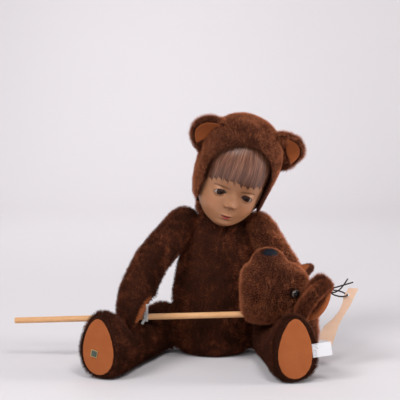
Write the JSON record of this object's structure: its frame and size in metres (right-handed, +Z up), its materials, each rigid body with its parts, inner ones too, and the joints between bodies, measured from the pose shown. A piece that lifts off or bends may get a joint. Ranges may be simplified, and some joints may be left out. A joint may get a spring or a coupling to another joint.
{
  "type": "jointed doll in a bear suit",
  "caption": "Seated disc-jointed plush doll with a moulded child's face in a bear hood, holding a hobby bear head on a wooden stick.",
  "frame": {"origin": "on the floor in the middle of the torso's flat seat", "axes": "+Z up, the doll looks along -Y, +X towards its left hand; the stick lies along X"},
  "size_m": [0.4442, 0.2238, 0.3246],
  "materials": {
    "plush": "dark brown mohair plush, 6 mm pile",
    "felt": "orange-tan wool felt",
    "skin_vinyl": "hand-painted satin vinyl, tan skin with painted brown hair",
    "glass_eye": "dark brown glossy glass",
    "nose_thread": "blue-black satin-stitched thread",
    "hardboard": "pressed hardboard",
    "steel": "plain bright steel wire and washers",
    "beech": "pale natural dowel, fine straight grain",
    "elastic": "white woven elastic",
    "label_tape": "white satin label tape, blank",
    "card": "beige uncoated card, blank",
    "ribbon": "thin dark ribbon, stiff",
    "badge_metal": "dark green enamel in a gilt edge, blank"
  },
  "bodies": {
    "torso": {"hip_left_inner_disc": "hardboard", "hip_left_inner_washer": "steel", "hip_left_pin": "steel", "hip_right_inner_disc": "hardboard", "hip_right_inner_washer": "steel", "hip_right_pin": "steel", "neck_torso_disc": "hardboard", "neck_torso_pin": "steel", "neck_torso_washer": "steel", "shoulder_left_inner_disc": "hardboard", "shoulder_left_inner_washer": "steel", "shoulder_left_pin": "steel", "shoulder_right_inner_disc": "hardboard", "shoulder_right_inner_washer": "steel", "shoulder_right_pin": "steel", "torso": "plush"},
    "neck_link": {"neck_head_disc": "hardboard", "neck_head_pin": "steel", "neck_head_washer": "steel"},
    "head": {"doll_eye_left": "glass_eye", "doll_eye_right": "glass_eye", "doll_head": "skin_vinyl", "hood": "plush", "hood_ear_left": "plush", "hood_ear_left_lining": "felt", "hood_ear_right": "plush", "hood_ear_right_lining": "felt"},
    "arm_right": {"arm_right": "plush", "paw_pad_right": "felt", "shoulder_right_outer_disc": "hardboard", "shoulder_right_outer_washer": "steel", "wrist_band": "elastic"},
    "arm_left": {"arm_left": "plush", "paw_pad_left": "felt", "shoulder_left_outer_disc": "hardboard", "shoulder_left_outer_washer": "steel"},
    "leg_right": {"foot_badge": "badge_metal", "foot_pad_right": "felt", "hip_right_outer_disc": "hardboard", "hip_right_outer_washer": "steel", "leg_right": "plush"},
    "leg_left": {"foot_pad_left": "felt", "hip_left_outer_disc": "hardboard", "hip_left_outer_washer": "steel", "leg_left": "plush", "sewn_label": "label_tape"},
    "hobby_bear": {"hobby_ear_left": "plush", "hobby_ear_left_lining": "felt", "hobby_ear_right": "plush", "hobby_ear_right_lining": "felt", "hobby_eye_left": "glass_eye", "hobby_eye_right": "glass_eye", "hobby_head": "plush", "hobby_nose": "nose_thread", "stick": "beech", "swing_tag": "card", "tag_tie": "ribbon"}
  },
  "joints": [
    {"name": "head_lean", "type": "hinge", "parent": "torso", "child": "neck_link", "pos_m": [0.01593, 0.005, 0.20237], "axis": [0, 1, 0], "range_deg": [-15, 3]},
    {"name": "head_turn", "type": "hinge", "parent": "neck_link", "child": "head", "pos_m": [0.01593, 0.005, 0.20237], "axis": [0.2756, 0, 0.9613], "range_deg": [-35, 4]},
    {"name": "arm_right", "type": "hinge", "parent": "torso", "child": "arm_right", "pos_m": [-0.02651, 0, 0.16659], "axis": [-0.8704, 0, 0.4924], "range_deg": [0, 40]},
    {"name": "arm_left", "type": "hinge", "parent": "torso", "child": "arm_left", "pos_m": [0.05225, 0, 0.1604], "axis": [-0.9367, 0, -0.3502], "range_deg": [-110, 0]},
    {"name": "leg_right", "type": "hinge", "parent": "torso", "child": "leg_right", "pos_m": [-0.0488, -0.006, 0.035], "axis": [-0.9205, 0.3907, 0], "range_deg": [-90, 0]},
    {"name": "leg_left", "type": "hinge", "parent": "torso", "child": "leg_left", "pos_m": [0.0542, -0.006, 0.035], "axis": [-0.9925, -0.1219, 0], "range_deg": [-90, 0]},
    {"name": "stick_slide", "type": "slide", "parent": "arm_right", "child": "hobby_bear", "axis": [0.9935, -0.1027, 0.0489], "range_m": [-0.01, 0.05]}
  ]
}
